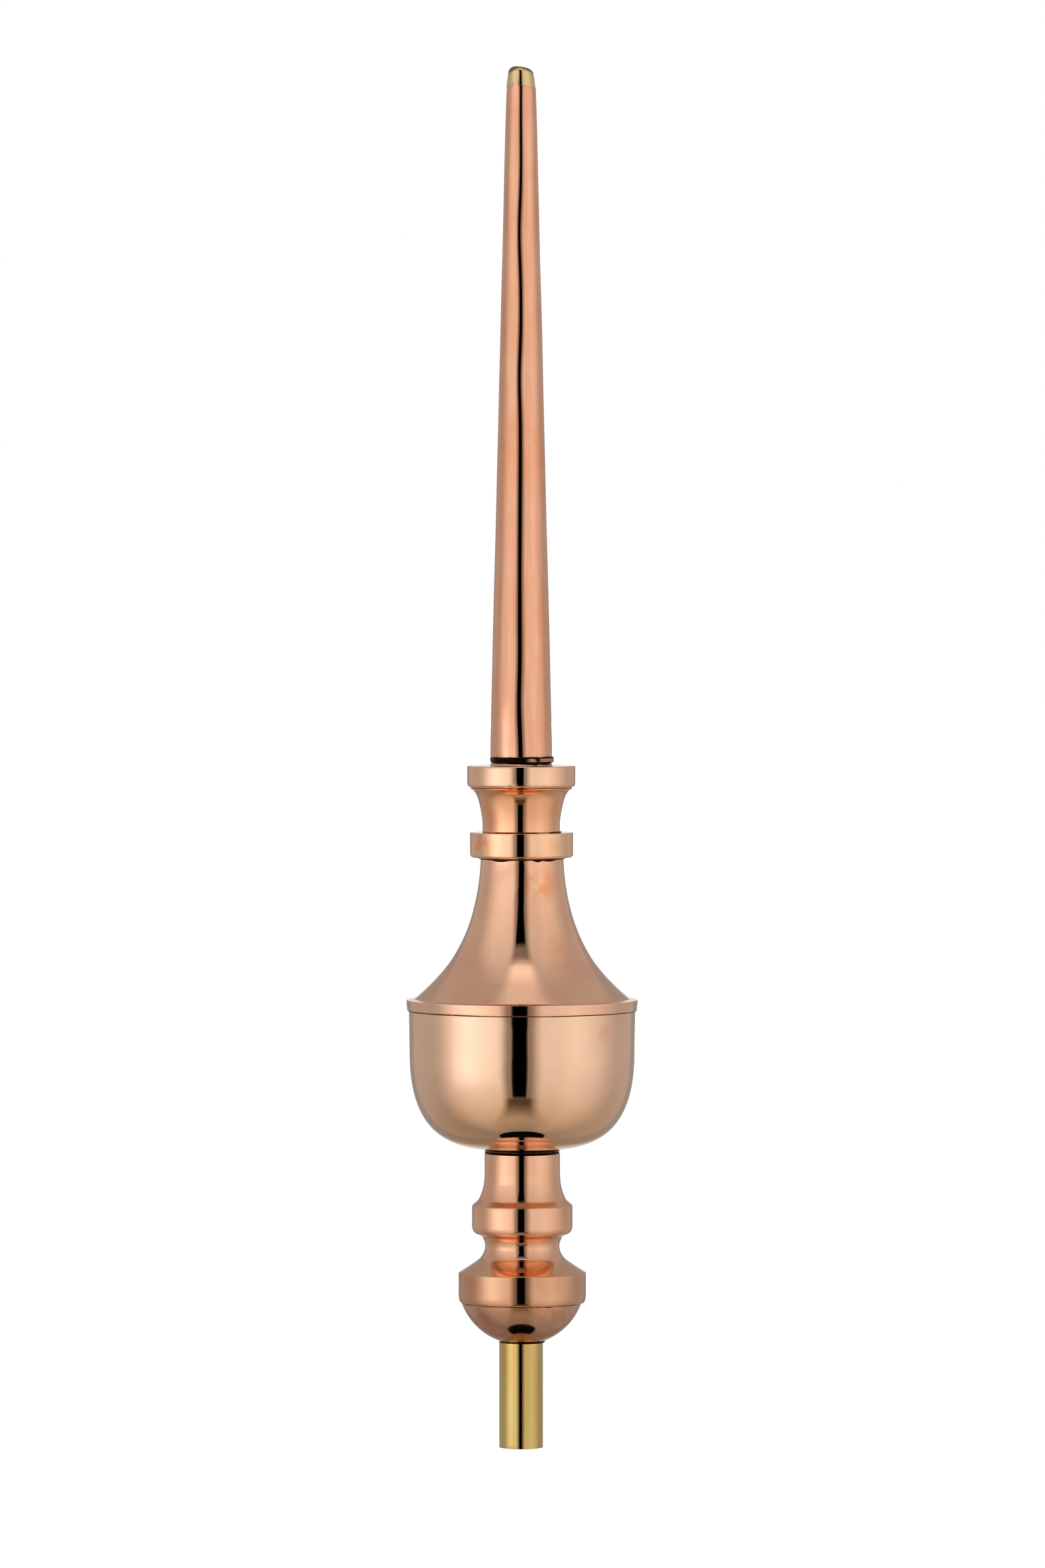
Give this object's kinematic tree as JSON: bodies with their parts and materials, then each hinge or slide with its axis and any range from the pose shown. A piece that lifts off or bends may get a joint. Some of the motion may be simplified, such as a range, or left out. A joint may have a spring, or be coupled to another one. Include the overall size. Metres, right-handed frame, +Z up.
{
  "type": "roof finial",
  "caption": "Tall turned roof ornament of spun copper: tapered spire, cup, ring, bell, bowl, beaded neck and half ball on a brass fixing rod.",
  "frame": {"origin": "middle of the fixing rod's cut lower end", "axes": "+Z up the finial's turning axis, from the rod to the tip; -Y is the side seen in the picture, the sides being alike"},
  "size_m": [0.1006, 0.1006, 0.5976],
  "materials": {
    "polished_copper": "spun copper, polished, with fine turning lines and faint heat tint at the soldered joints",
    "satin_copper": "spun copper, satin, slightly cloudy",
    "brass": "drawn brass, semi-polished"
  },
  "bodies": {
    "root": {"tip_cap": "brass", "spire": "polished_copper", "upper_cup": "polished_copper", "collar_ring": "polished_copper", "bell": "polished_copper", "bowl": "polished_copper", "spindle": "polished_copper", "half_ball": "satin_copper", "rod": "brass"}
  },
  "joints": []
}
